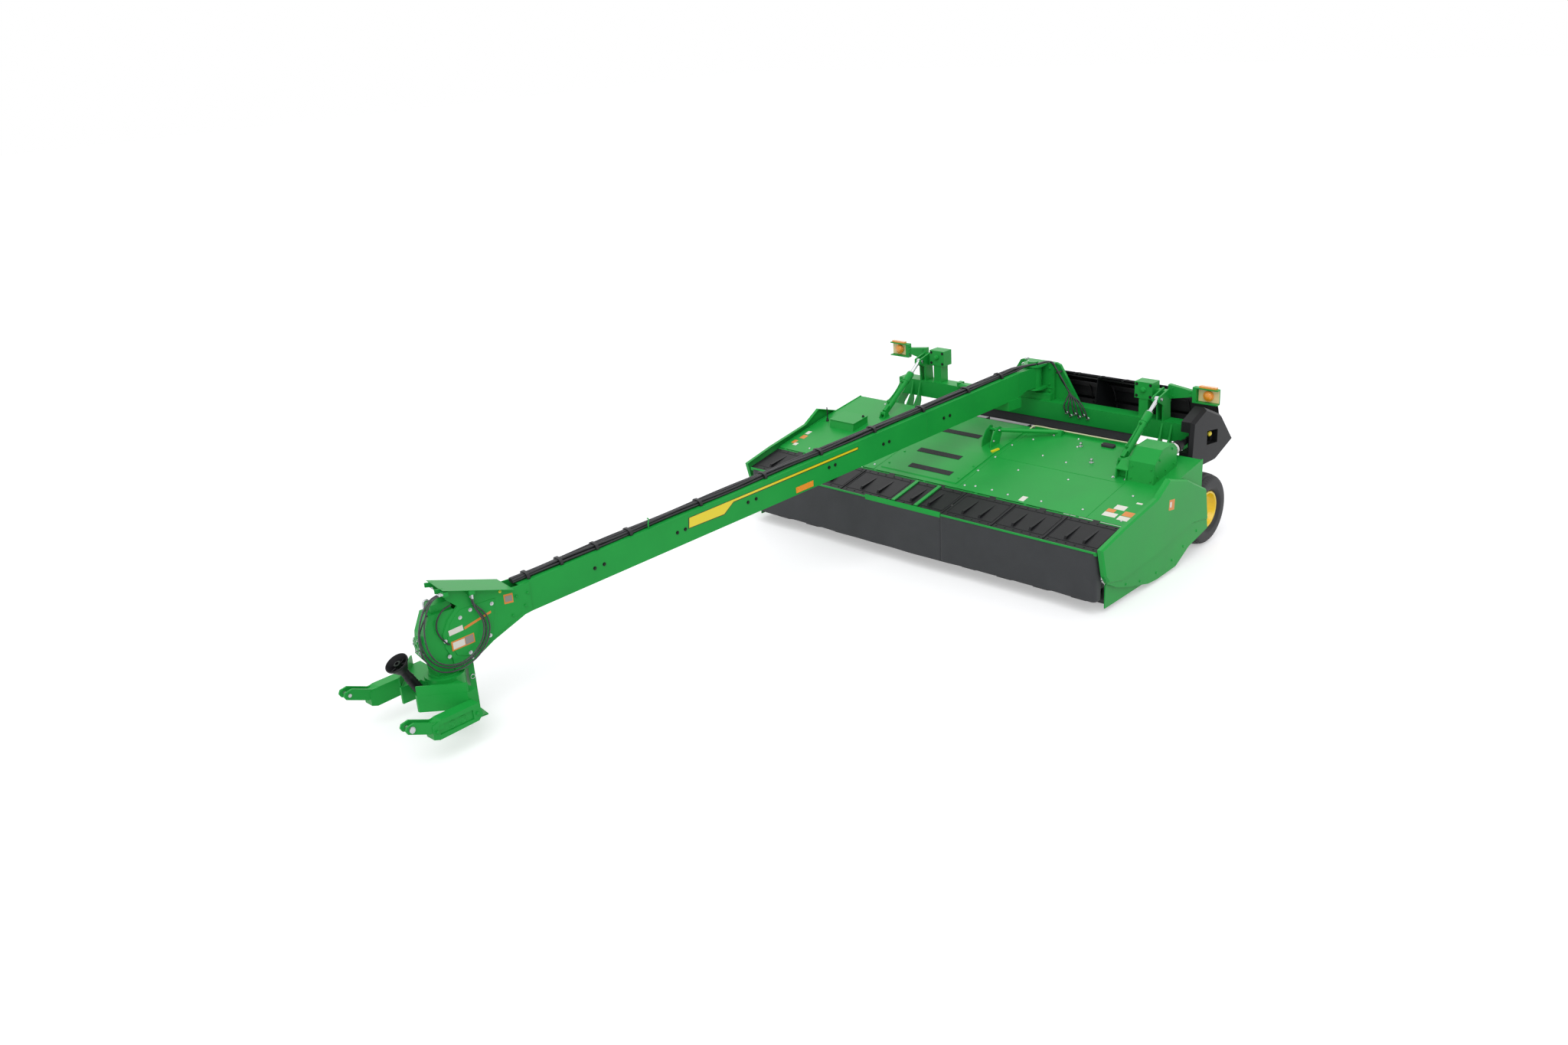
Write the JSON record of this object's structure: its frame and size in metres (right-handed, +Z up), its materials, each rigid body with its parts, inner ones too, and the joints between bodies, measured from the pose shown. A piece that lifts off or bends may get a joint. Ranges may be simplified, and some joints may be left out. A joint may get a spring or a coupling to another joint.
{
  "type": "mower conditioner",
  "caption": "Towed centre-pivot mower conditioner with disc cutterbar, deck, front curtain, swinging tongue and two-point swivel hitch.",
  "frame": {"origin": "on the ground under the middle of the machine's length and width", "axes": "+X to the machine's left side, +Y to its rear, +Z up"},
  "size_m": [5.16, 9.6796, 1.8553],
  "materials": {
    "green_paint": "semi-gloss enamel",
    "black_plastic": "moulded matt",
    "black_paint": "satin",
    "rim_yellow": "gloss enamel",
    "tyre": "ribbed",
    "curtain_rubber": "matt sheet",
    "hose_rubber": "smooth",
    "roll_rubber": "grooved",
    "bright_steel": "machined",
    "chrome": "polished rod",
    "disc_steel": "worn",
    "lens": "ribbed lens"
  },
  "bodies": {
    "carrier": {"main_tube": "green_paint", "pivot_tower": "green_paint", "posts": "green_paint", "lamps": "lens", "wheel_legs": "green_paint", "drive_cover": "black_plastic", "swing_bracket": "green_paint"},
    "platform": {"cutterbar": "black_paint", "header_frame": "green_paint", "end_panels": "green_paint", "deck": "green_paint", "tread_strips": "black_plastic", "header_gearbox": "green_paint", "deck_lugs": "green_paint", "conditioner_frame": "green_paint", "forming_shields": "green_paint", "rear_hood": "black_paint"},
    "swath_board": {"swath_board": "green_paint"},
    "header_shaft": {"header_shaft": "black_plastic"},
    "lower_roll": {"lower_roll": "roll_rubber"},
    "upper_roll": {"upper_roll": "roll_rubber"},
    "tongue": {"tongue_beam": "green_paint", "tongue_nose": "green_paint", "tongue_hoses": "hose_rubber", "hose_loop_1": "hose_rubber", "hose_loop_2": "hose_rubber", "hose_loop_3": "hose_rubber"},
    "stand": {"stand": "green_paint"},
    "hitch": {"hitch_body": "green_paint", "link_pins": "bright_steel"},
    "pto_shaft": {"pto_shaft": "black_plastic"},
    "swing_barrel": {"swing_barrel": "green_paint"},
    "swing_rod": {"swing_rod": "chrome"},
    "front_lid_left": {"rail_left": "green_paint", "shield_left": "black_paint", "curtain_left": "curtain_rubber"},
    "wheel_left": {"tyre_left": "tyre", "rim_left": "rim_yellow"},
    "lift_barrel_left": {"lift_barrel_left": "green_paint"},
    "lift_rod_left": {"lift_rod_left": "chrome"},
    "front_lid_right": {"rail_right": "green_paint", "shield_right": "black_paint", "curtain_right": "curtain_rubber"},
    "wheel_right": {"tyre_right": "tyre", "rim_right": "rim_yellow"},
    "lift_barrel_right": {"lift_barrel_right": "green_paint"},
    "lift_rod_right": {"lift_rod_right": "chrome"},
    "disc_01": {"disc_01": "disc_steel"},
    "disc_02": {"disc_02": "disc_steel"},
    "disc_03": {"disc_03": "disc_steel"},
    "disc_04": {"disc_04": "disc_steel"},
    "disc_05": {"disc_05": "disc_steel"},
    "disc_06": {"disc_06": "disc_steel"},
    "disc_07": {"disc_07": "disc_steel"},
    "disc_08": {"disc_08": "disc_steel"},
    "disc_09": {"disc_09": "disc_steel"},
    "disc_10": {"disc_10": "disc_steel"}
  },
  "joints": [
    {"name": "platform_lift", "type": "hinge", "parent": "carrier", "child": "platform", "pos_m": [0, 3.89979, 0.95], "axis": [-1, 0, 0], "range_deg": [0, 7]},
    {"name": "front_lid_left", "type": "hinge", "parent": "platform", "child": "front_lid_left", "pos_m": [1.5, 1.98779, 0.836], "axis": [1, 0, 0], "range_deg": [-24, 0]},
    {"name": "wheel_left_turn", "type": "hinge", "parent": "carrier", "child": "wheel_left", "pos_m": [2.33, 3.93979, 0.425], "axis": [1, 0, 0], "continuous": true},
    {"name": "lift_barrel_left_tilt", "type": "hinge", "parent": "platform", "child": "lift_barrel_left", "pos_m": [1.75, 3.22179, 1.112], "axis": [1, 0, 0], "range_deg": [-0.01, 3.52]},
    {"name": "lift_rod_left_slide", "type": "slide", "parent": "lift_barrel_left", "child": "lift_rod_left", "axis": [0, 0.8215, 0.5702], "range_m": [-0.06539, 0]},
    {"name": "front_lid_right", "type": "hinge", "parent": "platform", "child": "front_lid_right", "pos_m": [-1.5, 1.98779, 0.836], "axis": [1, 0, 0], "range_deg": [-24, 0]},
    {"name": "wheel_right_turn", "type": "hinge", "parent": "carrier", "child": "wheel_right", "pos_m": [-2.33, 3.93979, 0.425], "axis": [1, 0, 0], "continuous": true},
    {"name": "lift_barrel_right_tilt", "type": "hinge", "parent": "platform", "child": "lift_barrel_right", "pos_m": [-1.75, 3.22179, 1.112], "axis": [1, 0, 0], "range_deg": [-0.01, 3.52]},
    {"name": "lift_rod_right_slide", "type": "slide", "parent": "lift_barrel_right", "child": "lift_rod_right", "axis": [0, 0.8215, 0.5702], "range_m": [-0.06539, 0]},
    {"name": "header_shaft_tilt", "type": "hinge", "parent": "platform", "child": "header_shaft", "pos_m": [2.2, 3.49479, 1.22], "axis": [1, 0, 0], "range_deg": [-0.01, 2]},
    {"name": "swath_board_tilt", "type": "hinge", "parent": "platform", "child": "swath_board", "pos_m": [0, 2.97979, 0.845], "axis": [1, 0, 0], "range_deg": [-15, 12]},
    {"name": "disc_01_spin", "type": "hinge", "parent": "platform", "child": "disc_01", "pos_m": [-2.169, 1.84979, 0.118], "axis": [0, 0, 1], "continuous": true},
    {"name": "disc_02_spin", "type": "hinge", "parent": "platform", "child": "disc_02", "pos_m": [-1.687, 1.84979, 0.118], "axis": [0, 0, 1], "continuous": true},
    {"name": "disc_03_spin", "type": "hinge", "parent": "platform", "child": "disc_03", "pos_m": [-1.205, 1.84979, 0.118], "axis": [0, 0, 1], "continuous": true},
    {"name": "disc_04_spin", "type": "hinge", "parent": "platform", "child": "disc_04", "pos_m": [-0.723, 1.84979, 0.118], "axis": [0, 0, 1], "continuous": true},
    {"name": "disc_05_spin", "type": "hinge", "parent": "platform", "child": "disc_05", "pos_m": [-0.241, 1.84979, 0.118], "axis": [0, 0, 1], "continuous": true},
    {"name": "disc_06_spin", "type": "hinge", "parent": "platform", "child": "disc_06", "pos_m": [0.241, 1.84979, 0.118], "axis": [0, 0, 1], "continuous": true},
    {"name": "disc_07_spin", "type": "hinge", "parent": "platform", "child": "disc_07", "pos_m": [0.723, 1.84979, 0.118], "axis": [0, 0, 1], "continuous": true},
    {"name": "disc_08_spin", "type": "hinge", "parent": "platform", "child": "disc_08", "pos_m": [1.205, 1.84979, 0.118], "axis": [0, 0, 1], "continuous": true},
    {"name": "disc_09_spin", "type": "hinge", "parent": "platform", "child": "disc_09", "pos_m": [1.687, 1.84979, 0.118], "axis": [0, 0, 1], "continuous": true},
    {"name": "disc_10_spin", "type": "hinge", "parent": "platform", "child": "disc_10", "pos_m": [2.169, 1.84979, 0.118], "axis": [0, 0, 1], "continuous": true},
    {"name": "lower_roll_turn", "type": "hinge", "parent": "platform", "child": "lower_roll", "pos_m": [0, 2.34979, 0.33], "axis": [1, 0, 0], "continuous": true},
    {"name": "upper_roll_turn", "type": "hinge", "parent": "platform", "child": "upper_roll", "pos_m": [0, 2.43979, 0.546], "axis": [1, 0, 0], "continuous": true},
    {"name": "tongue_swing", "type": "hinge", "parent": "carrier", "child": "tongue", "pos_m": [0, 4.04979, 1.53], "axis": [0, 0, 1], "range_deg": [-21.86, 38.14]},
    {"name": "swing_barrel_turn", "type": "hinge", "parent": "carrier", "child": "swing_barrel", "pos_m": [-1.1, 3.98979, 1.405], "axis": [0, 0, 1], "range_deg": [-2.77, 4.8]},
    {"name": "swing_rod_slide", "type": "slide", "parent": "swing_barrel", "child": "swing_rod", "axis": [0.9373, -0.3486, 0], "range_m": [-0.1582, 0.2753]},
    {"name": "hitch_swivel", "type": "hinge", "parent": "tongue", "child": "hitch", "pos_m": [-1.15823, -4.04779, 0.545], "axis": [0, 0, 1], "range_deg": [-55, 55]},
    {"name": "pto_fold", "type": "hinge", "parent": "hitch", "child": "pto_shaft", "pos_m": [-1.15823, -4.28279, 0.385], "axis": [1, 0, 0], "range_deg": [0, 75]},
    {"name": "stand_fold", "type": "hinge", "parent": "tongue", "child": "stand", "pos_m": [-1.12283, -3.80031, 0.645], "axis": [0.9899, -0.1416, 0], "range_deg": [0, 90]}
  ],
  "couplings": [
    {"joint": "lift_barrel_left_tilt", "follows": "platform_lift", "ratio": 0.50117},
    {"joint": "lift_rod_left_slide", "follows": "platform_lift", "m_per_rad": -0.53358},
    {"joint": "lift_barrel_right_tilt", "follows": "platform_lift", "ratio": 0.50117},
    {"joint": "lift_rod_right_slide", "follows": "platform_lift", "m_per_rad": -0.53358},
    {"joint": "header_shaft_tilt", "follows": "platform_lift", "ratio": 0.28459},
    {"joint": "disc_02_spin", "follows": "disc_01_spin", "ratio": -1},
    {"joint": "disc_03_spin", "follows": "disc_01_spin", "ratio": 1},
    {"joint": "disc_04_spin", "follows": "disc_01_spin", "ratio": -1},
    {"joint": "disc_05_spin", "follows": "disc_01_spin", "ratio": 1},
    {"joint": "disc_06_spin", "follows": "disc_01_spin", "ratio": -1},
    {"joint": "disc_07_spin", "follows": "disc_01_spin", "ratio": 1},
    {"joint": "disc_08_spin", "follows": "disc_01_spin", "ratio": -1},
    {"joint": "disc_09_spin", "follows": "disc_01_spin", "ratio": 1},
    {"joint": "disc_10_spin", "follows": "disc_01_spin", "ratio": -1},
    {"joint": "upper_roll_turn", "follows": "lower_roll_turn", "ratio": -1},
    {"joint": "swing_barrel_turn", "follows": "tongue_swing", "ratio": 0.1245},
    {"joint": "swing_rod_slide", "follows": "tongue_swing", "m_per_rad": 0.412}
  ]
}
